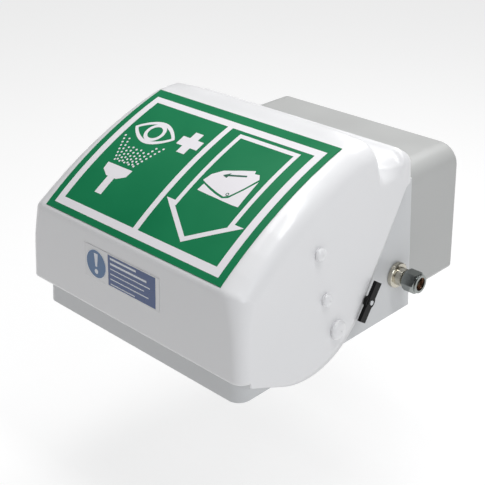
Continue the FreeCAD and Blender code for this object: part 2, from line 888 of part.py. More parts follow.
def make_casing():
    wall = S.casing_wall
    back = S.overall_depth

    def long_edge(low_z, high_z):
        return lambda e: along(e, "y") and low_z < e.CenterOfMass.z < high_z

    block = slab_y(casing_wedge(), S.base_rear_y + 0.02, back - 0.3)
    block = rounded(block, [(long_edge(120, 300), S.casing_round), (long_edge(-20, 60), 8)])
    space = slab_y(casing_wedge(wall), S.base_rear_y + wall, back + 5)
    space = rounded(space, [(long_edge(120, 300), S.casing_round - wall), (long_edge(-20, 60), 8 - wall)])
    drills = []
    for side in (1, -1):
        for z in (S.casing_bolt_low_z, S.casing_bolt_high_z):
            drills.append(bar((S.casing_bolt_x * side, S.base_rear_y - 5, z), "Y",
                              S.casing_bolt_radius + S.running, 15))
        drills.append(bar((80 * side, back - 13, S.casing_bottom_z - 5), "Z", 2.2, 20))
    node(cut(cut(block, space), *drills), "rear_casing")


def make_bracket():
    """A pressed channel: its web lies on the wall, its flanges hold the casing top and bottom."""
    plate = S.bracket_plate
    back = S.overall_depth
    low = S.casing_bottom_z + S.casing_wall + S.seat_gap
    high = S.casing_top_z - S.casing_wall - S.seat_gap
    front = back - S.bracket_flange
    channel = new_body()
    section = plane_sketch(channel, "YZ_Plane")
    draw_outline(section, [
        (front, low), (back, low), (back, high), (front, high),
        (front, high - plate), (back - plate, high - plate), (back - plate, low + plate), (front, low + plate),
    ])
    pad(channel, section, S.bracket_half_width * 2, middle=True)
    fixing = plane_sketch(channel, "XZ_Plane", -back - 5)
    for side in (1, -1):
        for end in (1, -1):
            draw_circle(fixing, (S.fixing_half_x * side, S.fixing_height + S.fixing_half_z * end), S.fixing_hole)
    pocket(channel, fixing, 60, middle=True)
    screws = plane_sketch(channel, "XY_Plane", low)
    for side in (1, -1):
        draw_circle(screws, (80 * side, back - 13), 2.02)
    pocket(channel, screws, 20, middle=True)
    node(channel, "wall_bracket")
    fasteners = []
    for side in (1, -1):
        screw = turned([(0, 0), (3.6, 0), (4.4, 1.8), (4.4, 2.2), (2, 2.2), (2, 16), (0, 16)])
        place = (80 * side, back - 13, S.casing_bottom_z - 2.2)
        fasteners.append(put(screw, place))
    node(group(*fasteners), "casing_screws")
    bolts, nuts = [], []
    span = S.base_wall + S.casing_wall + 0.02
    for side in (1, -1):
        for z in (S.casing_bolt_low_z, S.casing_bolt_high_z):
            bolt = turned([(0, -span - 6.5), (S.casing_bolt_radius, -span - 6.5), (S.casing_bolt_radius, 0),
                           (5.5, 0), (5.2, 3.6), (0, 4)])
            place = (S.casing_bolt_x * side, S.base_rear_y + S.casing_wall, z)
            bolts.append(put(bolt, place, TURNS["Y"]))
            nut = hex_nut(10, S.casing_bolt_radius + 0.01, -span - 5, -span)
            nuts.append(put(nut, place, TURNS["Y"]))
    node(group(*bolts), "casing_bolts")
    node(group(*nuts), "casing_nuts")


# ---- inlet ----------------------------------------------------------------------------------

tube_bore = S.tube_radius - S.tube_wall
socket_bore = S.tube_radius + S.running
socket_out = S.tube_radius + S.socket_wall


def make_inlet():
    wall_out = base_half_width(S.pipe_z) + 0.8
    wall_in = base_half_width(S.pipe_z) - S.base_wall - 0.75
    axis = TURNS["X"]
    place = (0, S.inlet_y, S.pipe_z)
    arm_end = S.pipe_x + 10.8
    bulkhead = turned([
        (6, arm_end + 0.3),
        (10, arm_end + 0.3),
        (10, wall_out),
        (16, wall_out),
        (16, wall_out + 4.4),
        (15.2, wall_out + 5.2),
        (11.5, wall_out + 5.6),
        (11, wall_out + 14),
        (9.5, wall_out + 15),
        (9.5, wall_out + 30),
        (7.6, wall_out + 30),
        (7.6, wall_out + 22),
        (6, wall_out + 21),
    ])
    node(group(put(bulkhead, place, axis)), "inlet_bulkhead")
    washer = turned(ring(14.5, 10.02, wall_in - 1, wall_in))
    node(group(put(washer, place, axis)), "bulkhead_washer")
    backnut = hex_nut(27, 10.01, wall_in - 4.45, wall_in - 1.05)
    node(group(put(backnut, place, axis)), "bulkhead_nut")
    olive = turned([(7.62, wall_out + 30.05), (9.2, wall_out + 30.05), (9.4, wall_out + 32), (9.2, wall_out + 34),
                    (7.62, wall_out + 34)])
    node(group(put(olive, place, axis)), "inlet_olive")
    nut = hex_nut(24, 9.55, wall_out + 16.5, wall_out + 34.2)
    lip = plane_sketch(nut, "XY_Plane", wall_out + 34.2)
    draw_circle(lip, (0, 0), 11.4)
    draw_circle(lip, (0, 0), 8.4)
    pad(nut, lip, 2.4)
    node(group(put(nut, place, axis)), "compression_nut")


def make_elbow(label, centre, first, second, radius=10.0):
    """A cast elbow: a ball with two arms. Each arm is (axis, length, outside, bore, socket depth)."""
    solids = [ball(centre, radius)]
    hollows = [ball(centre, 6)]
    for axis, length, outside, bore, depth in (first, second):
        solids.append(bar(centre, axis, outside, length))
        hollows.append(bar(centre, axis, 6, length + 1))
        if depth:
            sign = -1 if axis[0] == "-" else 1
            move = [dim(c) for c in centre]
            index = "XYZ".index(axis[-1])
            move[index] = move[index] + (dim(length) - depth) * sign
            hollows.append(bar(move, axis, bore, depth + 1))
    return node(cut(fuse(*solids), *hollows), label)


# ---- ball valves ----------------------------------------------------------------------------


def make_valve(stem, centre, boss, spindle_end, spindle_radius, rest_angle):
    """A ball valve in line with the pipe, along Y, with its spindle along +X."""
    half = S.valve_half_length
    depth = S.socket_depth
    x, y, z = centre
    seat = S.ball_radius * 0.8
    body = fuse(
        bar((x, y - half, z), "Y", S.valve_radius, half * 2),
        bar((x, y - half - depth, z), "Y", socket_out, half * 2 + depth * 2),
        bar((x, y, z), "X", 7.2, dim(boss) - x),
    )
    chamber = [
        bar((x, y - half - depth - 1, z), "Y", socket_bore, depth + 1),
        bar((x, y + half, z), "Y", socket_bore, depth + 1),
        bar((x, y - half - 1, z), "Y", 6, half * 2 + 2),
        bar((x, y - 10.5, z), "Y", S.ball_radius + 0.3, 25.5),
        bar((x, y, z), "X", spindle_radius + S.running, 60),
    ]
    node(cut(body, *chamber), stem + "_body")
    insert = turned(ring(S.ball_radius + 0.25, 5.5, 10.6, 14.95))
    node(group(put(insert, (x, y, z), TURNS["Y"])), stem + "_insert")
    seats = []
    for axis in ("Y", "-Y"):
        face = (S.ball_radius * S.ball_radius - 5.0 * 5.0).root() + 0.35
        rise = (S.ball_radius * S.ball_radius - seat * seat).root() + 0.35
        washer = turned([(5, face), (seat, rise), (S.ball_radius + 0.2, rise), (S.ball_radius + 0.2, 10.45),
                         (5, 10.45)])
        seats.append(put(washer, (x, y, z), TURNS[axis]))
    node(group(*seats), stem + "_seats")
    globe = ball((0, 0, 0), S.ball_radius)
    port = bar((0, 0, -15), "Z", S.port_radius, 30)
    key = bar((S.ball_radius - 2.5, 0, 0), "X", spindle_radius + 0.01, 10)
    turned_ball = cut(globe, port, key)
    node(turned_ball, stem + "_ball", centre, Rotation(Vector(1, 0, 0), rest_angle))
    start = S.ball_radius - 2.45
    spindle = turned(rod(spindle_radius, start, dim(spindle_end) - x))
    node(group(put(spindle, centre, TURNS["X"])), stem + "_spindle")


def make_regulator():
    wall_out = base_half_width(S.pipe_z)
    wall_in = wall_out - S.base_wall
    centre = (S.pipe_x, S.regulator_y, S.pipe_z)
    make_valve("regulator", centre, wall_out + 3.2, S.lever_face_x - 1.8, dim(3), 0)
    nut = turned([(7.22, wall_out + 0.6), (10.5, wall_out + 0.6), (10.5, wall_out + 3.4), (9.6, wall_out + 4.2),
                  (7.22, wall_out + 4.2)])
    node(group(put(nut, (0, S.regulator_y, S.pipe_z), TURNS["X"])), "regulator_gland_nut")
    turn = Rotation(Vector(1, 0, 0), S.lever_angle.number)
    length = S.lever_length
    half = S.lever_width / 2
    blade_back = S.lever_face_x - S.lever_blade
    neck_back = wall_out + 4.6
    lever = new_body()
    blade = plane_sketch(lever, "YZ_Plane", blade_back)
    draw_outline(blade, [(-length / 2, -half), (length / 2, -half), (length / 2, half), (-length / 2, half)])
    pad(lever, blade, S.lever_blade)
    hub = plane_sketch(lever, "YZ_Plane", blade_back)
    draw_circle(hub, (0, 0), S.lever_hub)
    pad(lever, hub, S.lever_blade - 0.6)
    neck = plane_sketch(lever, "YZ_Plane", neck_back)
    draw_circle(neck, (0, 0), S.lever_neck)
    pad(lever, neck, blade_back - neck_back + 1)
    bore = plane_sketch(lever, "YZ_Plane", neck_back - 1)
    draw_circle(bore, (0, 0), 3.01)
    pocket(lever, bore, S.lever_face_x - 1.7 - neck_back + 1, reverse=True)
    thread = plane_sketch(lever, "YZ_Plane", neck_back - 1)
    draw_circle(thread, (0, 0), 1.6)
    pocket(lever, thread, 30, reverse=True)
    node(lever, "regulator_handle", (0, S.regulator_y, S.pipe_z), turn)
    screw = turned([(0, -1.7), (1.55, -1.7), (1.55, 0.05), (3.1, 0.05), (2.9, 1.4), (0, 1.9)])
    node(group(put(screw, (S.lever_face_x, S.regulator_y, S.pipe_z), TURNS["X"])), "handle_screw")


def make_pipes():
    half = S.valve_half_length
    depth = S.socket_depth
    arm = dim(19)
    make_elbow("inlet_elbow", (S.pipe_x, S.inlet_y, S.pipe_z),
               ("X", dim(10.8), 10, 6, 0), ("-Y", arm, socket_out, socket_bore, depth))
    low = S.regulator_y + half + 0.3
    high = S.inlet_y - arm + depth - 0.3
    rear = turned(ring(S.tube_radius, tube_bore, low, high))
    node(group(put(rear, (S.pipe_x, 0, S.pipe_z), TURNS["Y"])), "supply_tube_rear")
    make_valve_link()
    make_valve("hood_valve", (S.pipe_x, S.pivot_y, S.pivot_z), base_half_width(S.pivot_z) - S.base_wall - 2,
               hub_reach(), S.spindle_radius, 15)
    front_arm = S.pivot_y - half - depth - S.outlet_y
    make_elbow("outlet_elbow", (S.pipe_x, S.outlet_y, S.pivot_z),
               ("Y", front_arm + depth - 0.2, S.tube_radius, 6, 0),
               ("-X", S.pipe_x - S.basin_half_width + 9, 8, 6, 0))
    place = (0, S.outlet_y, S.pivot_z)
    wall = S.basin_half_width
    gasket = turned(ring(14, 8.02, wall - 2, wall - 0.02))
    node(group(put(gasket, place, TURNS["X"])), "manifold_gasket")
    nut = hex_nut(26, 8.01, wall - 18, wall - 2.05)
    node(group(put(nut, place, TURNS["X"])), "manifold_nut")


def make_valve_link():
    """A short casting that steps the water down from the regulator to the hood valve."""
    reach = S.valve_half_length
    front = S.pivot_y + reach + S.socket_depth + 0.02
    rear = S.regulator_y - reach - S.socket_depth - 0.02
    low, high = S.pivot_z, S.pipe_z
    thick = rear - front
    outside = 10
    passage = 6

    def pipe(y, z, radius, length):
        return bar((S.pipe_x, y, z), "Y", radius, length)

    def web(half_width, y0, y1):
        solid = slab_y([(-half_width, low), (half_width, low), (half_width, high), (-half_width, high)], y0, y1)
        return group(put(solid, (S.pipe_x, 0, 0)))

    spigot = S.socket_depth - 0.3
    casting = fuse(
        pipe(front - spigot, low, S.tube_radius, spigot + 1),
        pipe(rear - 1, high, S.tube_radius, spigot + 1),
        pipe(front, low, outside, thick),
        pipe(front, high, outside, thick),
        web(outside, front, rear),
    )
    way_front, way_rear = front + 3, rear - 3
    way = fuse(
        pipe(front - spigot - 1, low, passage, way_rear - front + spigot + 1),
        pipe(way_front, high, passage, rear - way_front + spigot + 1),
        web(passage, way_front, way_rear),
    )
    node(cut(casting, way), "valve_link")


# ---- spray heads ----------------------------------------------------------------------------


def make_sprays():
    wall = S.basin_half_width
    start = -S.head_x
    end = wall - 9.4
    y, z = S.outlet_y, S.pivot_z
    solids = [bar((start, y, z), "X", S.tube_radius, end - start), ball((start, y, z), S.tube_radius)]
    hollows = [bar((start, y, z), "X", 5.5, end - start + 1)]
    for side in (1, -1):
        x = S.head_x * side
        solids.append(bar((x, y, z), "Z", S.tube_radius, S.riser_top_z - z))
        hollows.append(bar((x, y, z), "Z", 5.5, 60))
    node(cut(fuse(*solids), *hollows), "spray_manifold")
    low = S.riser_top_z - 8
    top = S.head_top_z
    rim = S.head_radius
    for side, suffix in ((1, "right"), (-1, "left")):
        place = (S.head_x * side, y, 0)
        head = turned([
            (socket_bore, low), (11, low), (11, S.riser_top_z + 4), (rim - 2, top - 10), (rim, top - 6), (rim, top),
            (rim - 2.2, top), (rim - 2.2, top - 5), (rim - 4.5, top - 7), (6, S.riser_top_z + 5),
            (6, S.riser_top_z + 0.3), (socket_bore, S.riser_top_z + 0.3),
        ])
        node(group(put(head, place)), f"spray_head_{suffix}")
        disc = new_body()
        plate = plane_sketch(disc, "XY_Plane", top - 4.9)
        draw_circle(plate, (0, 0), rim - 2.25)
        pad(disc, plate, 2.4)
        jets = plane_sketch(disc, "XY_Plane", top - 6)
        for distance, count in ((0, 1), (7, 6), (13.5, 12), (19, 18)):
            for step in range(count):
                angle = math.radians(360 / count * step)
                draw_circle(jets, (distance * math.cos(angle), distance * math.sin(angle)), 1.1)
        pocket(disc, jets, 6, reverse=True)
        node(group(put(disc, place)), f"spray_rose_{suffix}")


# ---- sheets on the hood ---------------------------------------------------------------------


def make_sign():
    """The safety sign: a thin sheet bent to the panel's curve."""
    thick = S.sign_thick
    gap = 0.05
    rise_y = S.panel_rear_y - S.panel_front_y
    rise_z = S.panel_rear_z - S.panel_front_z
    chord = (rise_y * rise_y + rise_z * rise_z).root()
    up_y = -rise_z / chord
    up_z = rise_y / chord
    low = 5.2
    high = 3.0

    def on_panel(back, lift):
        """A point on the panel, a distance along the chord from its front edge, lifted off it."""
        middle = chord / 2
        away = dim(back) - middle
        sag = (S.panel_radius * S.panel_radius - away * away).root()
        hub = (S.panel_radius * S.panel_radius - middle * middle).root()
        height = sag - hub + lift
        y = S.panel_front_y + rise_y / chord * back + up_y * height
        z = S.panel_front_z + rise_z / chord * back + up_z * height
        return y, z

    front_low = on_panel(dim(low), gap)
    back_low = on_panel(chord - high, gap)
    front_high = on_panel(dim(low), gap + thick)
    back_high = on_panel(chord - high, gap + thick)
    sheet_solid = slab_x([
        (front_low[0], front_low[1], S.panel_radius + gap),
        back_low,
        (back_high[0], back_high[1], -S.panel_radius - gap - thick),
        front_high,
    ], S.sign_width / 2)
    node(sheet_solid, "sign_sheet")


def make_label():
    """The small notice on the hood's front face."""
    lean = math.degrees(math.atan((S.panel_front_y / (S.panel_front_z - S.hood_foot_z)).number))
    label = new_body()
    outline = plane_sketch(label, "XZ_Plane", 0)
    wide, tall = S.label_width / 2, S.label_height / 2
    draw_outline(outline, [(-wide, -tall), (wide, -tall), (wide, tall), (-wide, tall)])
    pad(label, outline, S.label_thick)
    y = S.panel_front_y / (S.panel_front_z - S.hood_foot_z) * (S.label_z - S.hood_foot_z) - 0.05
    node(label, "front_label", (S.label_x, y, S.label_z), Rotation(Vector(1, 0, 0), -lean))


make_base()
make_buffers()
make_waste()
make_casing()
make_bracket()
make_inlet()
make_regulator()
make_pipes()
make_sprays()
make_pivots()
make_hinge()
make_hood()
make_sign()
make_label()
doc.recompute()

for thing in doc.Objects:
    if "Invalid" in thing.State or "Error" in thing.State:
        raise RuntimeError(f"{thing.Name} ({thing.Label}) failed: {thing.State}")
    if thing.TypeId in ("PartDesign::Pocket", "PartDesign::Groove"):
        before = thing.BaseFeature.Shape.Volume
        if not thing.Shape.Volume < before - 0.01:
            raise RuntimeError(f"{thing.Name} cuts nothing")
for thing in nodes:
    if thing.Shape.isNull() or not thing.Shape.isValid():
        raise RuntimeError(f"{thing.Label} has no valid shape")

os.makedirs("parts", exist_ok=True)
for thing in nodes:
    thing.Shape.exportStep(f"parts/{thing.Label}.step")
    print(f"{thing.Label}: {len(thing.Shape.Solids)} solids, {thing.Shape.Volume / 1000:.2f} cm3")
print(len(nodes), "nodes")
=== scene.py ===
# Eyewash station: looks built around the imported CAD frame. Metres, +Z up, -Y towards the user.
import math

import bpy
import numpy as np
from mathutils import Matrix, Vector


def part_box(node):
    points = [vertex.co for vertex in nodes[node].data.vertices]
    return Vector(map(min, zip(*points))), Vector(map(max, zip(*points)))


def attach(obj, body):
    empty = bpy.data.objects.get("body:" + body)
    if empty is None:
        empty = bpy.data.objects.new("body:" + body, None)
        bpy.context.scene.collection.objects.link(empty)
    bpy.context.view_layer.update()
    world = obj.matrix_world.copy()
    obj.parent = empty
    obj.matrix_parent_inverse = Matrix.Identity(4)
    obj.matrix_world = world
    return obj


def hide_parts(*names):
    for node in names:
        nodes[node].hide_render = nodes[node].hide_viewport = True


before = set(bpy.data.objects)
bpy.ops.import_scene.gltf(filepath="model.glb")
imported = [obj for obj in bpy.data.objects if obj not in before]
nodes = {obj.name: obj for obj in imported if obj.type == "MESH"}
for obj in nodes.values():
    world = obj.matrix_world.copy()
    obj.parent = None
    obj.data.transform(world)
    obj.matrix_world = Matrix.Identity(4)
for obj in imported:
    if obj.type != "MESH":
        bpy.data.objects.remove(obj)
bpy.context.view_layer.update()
scene = bpy.context.scene
print("stage: frame loaded,", len(nodes), "nodes")

mm = 0.001
bench = {"front": 0.0, "top": 241.0}      # y of the hood's front foot and z of its top, in bench millimetres
hoodLow, hoodHigh = [np.array(corner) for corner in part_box("hood")]


# Bench millimetres (x right, y back from the hood's front foot, z up) moved to the frame's metres by the
# hood's own box.
def place(x, y, z):
    return np.stack(np.broadcast_arrays(
        np.asarray(x, float) * mm,
        hoodLow[1] + (np.asarray(y, float) - bench["front"]) * mm,
        hoodHigh[2] + (np.asarray(z, float) - bench["top"]) * mm), axis=-1)


# 0 below low, 1 above high, and 3t^2 - 2t^3 between, where t is the share of the way across.
def smoothStep(value, low, high):
    t = np.clip((value - low) / (high - low), 0, 1)
    return t * t * (3 - 2 * t)


# Materials: a soft cloud varies colour and roughness, a fine grain lifts the surface.
plasticGrain = {"cloudScale": 14, "smoother": 0.05, "rougher": 0.06, "height": 0.0003, "coatRough": 0.12}
metalGrain = {"cloudScale": 60, "cloudDetail": 4, "smoother": 0.7, "rougher": 1.3, "height": 0.0002}


def newMaterial(name):
    made = bpy.data.materials.new(name)
    made.use_nodes = True
    tree = made.node_tree
    return made, tree, tree.nodes["Principled BSDF"]


# Noise on Object coordinates, stretched per axis.
def objectNoise(tree, scale, detail=3.0, stretch=(1, 1, 1)):
    coord = tree.nodes.new("ShaderNodeTexCoord")
    mapping = tree.nodes.new("ShaderNodeMapping")
    mapping.inputs["Scale"].default_value = stretch
    noise = tree.nodes.new("ShaderNodeTexNoise")
    noise.inputs["Scale"].default_value = scale
    noise.inputs["Detail"].default_value = detail
    tree.links.new(coord.outputs["Object"], mapping.inputs["Vector"])
    tree.links.new(mapping.outputs["Vector"], noise.inputs["Vector"])
    return noise.outputs["Fac"]


# The middle of the noise's range (0.3 to 0.7) spread over low to high.
def ramp(tree, source, low, high):
    spread = tree.nodes.new("ShaderNodeMapRange")
    spread.inputs["From Min"].default_value = 0.3
    spread.inputs["From Max"].default_value = 0.7
    spread.inputs["To Min"].default_value = low
    spread.inputs["To Max"].default_value = high
    tree.links.new(source, spread.inputs["Value"])
    return spread.outputs["Result"]


def tinted(tree, source, dark, light):
    mix = tree.nodes.new("ShaderNodeMix")
    mix.data_type = "RGBA"
    mix.inputs["A"].default_value = (*dark, 1)
    mix.inputs["B"].default_value = (*light, 1)
    tree.links.new(source, mix.inputs["Factor"])
    return mix.outputs["Result"]


def bumped(tree, shader, height, strength, distance):
    bump = tree.nodes.new("ShaderNodeBump")
    bump.inputs["Strength"].default_value = strength
    bump.inputs["Distance"].default_value = distance
    tree.links.new(height, bump.inputs["Height"])
    tree.links.new(bump.outputs["Normal"], shader.inputs["Normal"])


# Moulded plastic, rubber or print: colour varies by the share "spread", roughness by a few hundredths.
def plastic(name, colour, rough=0.4, spread=0.02, grain=900, lift=0.04, coat=0.0, gloss=0.5):
    made, tree, shader = newMaterial(name)
    cloud = objectNoise(tree, plasticGrain["cloudScale"])
    dark = [max(c * (1 - spread), 0) for c in colour]
    light = [min(c * (1 + spread), 1) for c in colour]
    tree.links.new(tinted(tree, ramp(tree, cloud, 0, 1), dark, light), shader.inputs["Base Color"])
    tree.links.new(ramp(tree, cloud, rough - plasticGrain["smoother"], rough + plasticGrain["rougher"]),
                   shader.inputs["Roughness"])
    bumped(tree, shader, objectNoise(tree, grain, 2), lift, plasticGrain["height"])
    shader.inputs["Coat Weight"].default_value = coat
    shader.inputs["Coat Roughness"].default_value = plasticGrain["coatRough"]
    shader.inputs["Specular IOR Level"].default_value = gloss
    return made


# Bare or plated metal: darker spots by the share "spots", and streaks along the axis that isn't stretched.
def metal(name, colour, rough=0.3, stretch=(1, 1, 1), grain=400, lift=0.1, spots=0.12):
    made, tree, shader = newMaterial(name)
    shader.inputs["Metallic"].default_value = 1
    cloud = objectNoise(tree, metalGrain["cloudScale"], metalGrain["cloudDetail"])
    dark = [c * (1 - spots) for c in colour]
    tree.links.new(tinted(tree, ramp(tree, cloud, 0, 1), dark, colour), shader.inputs["Base Color"])
    streak = objectNoise(tree, grain, 2, stretch)
    tree.links.new(ramp(tree, streak, rough * metalGrain["smoother"], rough * metalGrain["rougher"]),
                   shader.inputs["Roughness"])
    bumped(tree, shader, streak, lift, metalGrain["height"])
    return made


plastics = {
    "shellWhite": dict(colour=(0.79, 0.79, 0.80), rough=0.34, spread=0.008, grain=700, lift=0.02, coat=0.25),
    # The rear casing's colour is darkened well below the shell's white as painted shade on its sides; the
    # casing itself is the same white plastic.
    "casingWhitePaintedShade": dict(colour=(0.47, 0.475, 0.468), rough=0.4, spread=0.012, grain=700, lift=0.03, coat=0.2),
    # The bowl base's colour is darkened below the shell's white as painted shade on its side; the base itself
    # is the same white plastic as the hood.
    "basinWhitePaintedShade": dict(colour=(0.62, 0.63, 0.64), rough=0.36, spread=0.012, grain=700, lift=0.03, coat=0.2),
    "capWhite": dict(colour=(0.80, 0.80, 0.81), rough=0.30, spread=0.01, lift=0.02, coat=0.3),
    "bushGrey": dict(colour=(0.62, 0.62, 0.60), rough=0.5, spread=0.03, lift=0.06),
    "blackPlastic": dict(colour=(0.003, 0.003, 0.0035), rough=0.5, spread=0.2, lift=0.12, gloss=0.18),
    "roseGreen": dict(colour=(0.02, 0.22, 0.12), rough=0.35, spread=0.06, lift=0.05, coat=0.2),
    "blackRubber": dict(colour=(0.02, 0.02, 0.02), rough=0.7, spread=0.15, grain=1500, lift=0.25),
    "seatWhite": dict(colour=(0.82, 0.82, 0.80), rough=0.45, lift=0.03),
    "signGreen": dict(colour=(0.004, 0.185, 0.07), rough=0.42, spread=0.05, grain=500, lift=0.02, gloss=0.25),
    "signWhite": dict(colour=(0.80, 0.78, 0.81), rough=0.42, spread=0.01, grain=500, lift=0.02, gloss=0.3),
    "signDark": dict(colour=(0.02, 0.12, 0.07), rough=0.35, spread=0.05, grain=500, lift=0.02),
    "noticeFilm": dict(colour=(0.74, 0.74, 0.75), rough=0.22, spread=0.01, grain=500, lift=0.02, coat=0.4),
    "noticeBlue": dict(colour=(0.012, 0.055, 0.20), rough=0.25, spread=0.05, grain=500, lift=0.02, coat=0.4),
    "discBlue": dict(colour=(0.03, 0.12, 0.28), rough=0.25, spread=0.05, grain=500, lift=0.02, coat=0.4),
    "noticePrint": dict(colour=(0.72, 0.75, 0.80), rough=0.3, grain=500, lift=0.02),
}
metals = {
    "rolledSteel": dict(colour=(0.56, 0.57, 0.58), rough=0.36, stretch=(1, 1, 18), grain=260, lift=0.12),
    "zincPlate": dict(colour=(0.60, 0.62, 0.64), rough=0.30, grain=500, lift=0.15, spots=0.2),
    # The chrome's colour is darkened as a painted reflection of dark surroundings; real chrome plate is far
    # brighter.
    "chromePaintedDarkReflection": dict(colour=(0.30, 0.32, 0.31), rough=0.12, grain=120, lift=0.02, spots=0.10),
    "nickelPlate": dict(colour=(0.60, 0.57, 0.49), rough=0.26, stretch=(14, 1, 1), grain=200, spots=0.2),
    "plainBrass": dict(colour=(0.62, 0.45, 0.20), rough=0.28, stretch=(14, 1, 1), grain=200, spots=0.15),
    "drawnCopper": dict(colour=(0.65, 0.34, 0.22), stretch=(1, 12, 1), grain=160, lift=0.08, spots=0.25),
}
looks = {name: plastic(name, **facts) for name, facts in plastics.items()}
looks.update({name: metal(name, **facts) for name, facts in metals.items()})

nodeLooks = {
    "casingWhitePaintedShade": ["rear_casing"],
    "basinWhitePaintedShade": ["bowl_base"],
    "capWhite": ["bolt_caps", "pivot_caps"],
    "bushGrey": ["pivot_bush_right", "pivot_bush_left"],
    "blackPlastic": ["spray_head_right", "spray_head_left", "regulator_handle"],
    "roseGreen": ["spray_rose_right", "spray_rose_left"],
    "blackRubber": ["hood_buffers", "waste_gasket", "bulkhead_washer", "manifold_gasket"],
    "seatWhite": ["regulator_seats", "hood_valve_seats"],
    "rolledSteel": ["waste_outlet", "drain_strainer", "waste_backnut", "wall_bracket", "hinge_arm_right",
                    "hinge_arm_left", "pivot_stud_left", "stud_collar_left", "pivot_collars", "stop_pegs",
                    "hood_valve_spindle"],
    "zincPlate": ["casing_screws", "casing_bolts", "casing_nuts", "arm_bolts", "handle_screw"],
    "chromePaintedDarkReflection": ["compression_nut", "regulator_ball", "hood_valve_ball"],
    "nickelPlate": ["inlet_bulkhead", "bulkhead_nut", "regulator_body", "regulator_gland_nut", "inlet_elbow",
                    "hood_valve_body", "valve_link", "outlet_elbow", "manifold_nut"],
    "plainBrass": ["regulator_insert", "regulator_spindle", "hood_valve_insert"],
    "drawnCopper": ["inlet_olive", "supply_tube_rear", "spray_manifold"],
    "signGreen": ["sign_sheet"],
    "noticeFilm": ["front_label"],
}
for look, nodeNames in nodeLooks.items():
    for nodeName in nodeNames:
        part = nodes[nodeName]
        part.data.materials.clear()
        part.data.materials.append(looks[look])
print("stage: node materials set")


# Quads between neighbouring rows and columns of a grid; the last column meets the first where it is closed.
def gridFaces(rows, columns, closeColumns=False):
    down = np.arange(rows - 1)[:, None]
    across = np.arange(columns if closeColumns else columns - 1)[None, :]
    following = (across + 1) % columns
    quads = np.stack([
        down * columns + across,
        down * columns + following,
        (down + 1) * columns + following,
        (down + 1) * columns + across], axis=-1)
    return quads.reshape(-1, 4)


def meshFrom(name, points, quads, material, smooth=True):
    points = np.ascontiguousarray(points, dtype=np.float32).reshape(-1, 3)
    quads = np.ascontiguousarray(quads, dtype=np.int32)
    mesh = bpy.data.meshes.new(name)
    mesh.vertices.add(len(points))
    mesh.vertices.foreach_set("co", points.ravel())
    mesh.loops.add(quads.size)
    mesh.loops.foreach_set("vertex_index", quads.ravel())
    mesh.polygons.add(len(quads))
    mesh.polygons.foreach_set("loop_start", np.arange(0, quads.size, 4, dtype=np.int32))
    mesh.polygons.foreach_set("use_smooth", np.full(len(quads), smooth))
    mesh.update(calc_edges=True)
    mesh.validate()
    made = bpy.data.objects.new(name, mesh)
    scene.collection.objects.link(made)
    mesh.materials.append(material)
    return made


# Distance along a line of points, from 0 at the first.
def travelled(points):
    return np.concatenate([[0], np.cumsum(np.linalg.norm(np.diff(points, axis=0), axis=1))])


# Points at the given distances along a line of points.
def pointsAt(distances, points):
    travel = travelled(points)
    return np.stack([np.interp(distances, travel, points[:, k]) for k in (0, 1)], axis=1)


# Straight runs with a tangent arc at each corner: its centre is on the bisector, radius / sin(half) from the
# corner, and its points turn evenly from one tangent point to the other. The whole is sampled about every
# step.
def roundedPath(corners, radii, step):
    corners = np.asarray(corners, float)
    pieces = [corners[0]]
    for index in range(1, len(corners) - 1):
        before = corners[index - 1] - corners[index]
        after = corners[index + 1] - corners[index]
        before /= np.linalg.norm(before)
        after /= np.linalg.norm(after)
        radius = radii[index]
        half = np.arccos(np.clip(before @ after, -1, 1)) / 2
        if radius <= 0 or half > math.pi / 2 - 1e-4:      # no radius, or nearly straight
            pieces.append(corners[index])
            continue
        setback = radius / math.tan(half)
        middle = corners[index] + (before + after) / np.linalg.norm(before + after) * radius / math.sin(half)
        startArm = corners[index] + before * setback - middle
        endArm = corners[index] + after * setback - middle
        sweep = math.pi - 2 * half
        count = max(3, int(radius * sweep / step) + 2)
        turn = np.linspace(0, 1, count)[:, None]
        arc = (np.sin((1 - turn) * sweep) * startArm + np.sin(turn * sweep) * endArm) / math.sin(sweep)
        pieces.extend(middle + arc)
    pieces.append(corners[-1])
    dense = np.array(pieces)
    gaps = np.linalg.norm(np.diff(dense, axis=0), axis=1)
    dense = dense[np.concatenate([[True], gaps > 1e-6])]      # without doubled points
    length = travelled(dense)[-1]
    return pointsAt(np.linspace(0, length, int(length / step) + 2), dense)


# Each value averaged with its neighbours along one axis, weights 1 2 1, the ends kept.
def smoothed(values, passes, axis=0):
    values = np.moveaxis(values, axis, 0)
    for _ in range(passes):
        inner = (values[:-2] + 2 * values[1:-1] + values[2:]) / 4
        values = np.concatenate([values[:1], inner, values[-1:]])
    return np.moveaxis(values, 0, axis)


# The sloping panel's curve in (y, z), which the hood and the sign's artwork share.
panel = {"front": (4.5, 134.5), "rear": (200.0, 235.5), "radius": 570.0}
panelChord = np.array(panel["rear"]) - np.array(panel["front"])
panelLength = np.linalg.norm(panelChord)


# A circular arc over the panel's chord: along the chord by "back", and up by the arc's rise there plus lift.
def panelPoint(back, lift=0.0):
    along = panelChord / panelLength
    away = back - panelLength / 2
    rise = np.sqrt(panel["radius"] ** 2 - away ** 2) - math.sqrt(panel["radius"] ** 2 - panelLength ** 2 / 4)
    rise = rise + lift
    return (panel["front"][0] + along[0] * back - along[1] * rise,
            panel["front"][1] + along[1] * back + along[0] * rise)


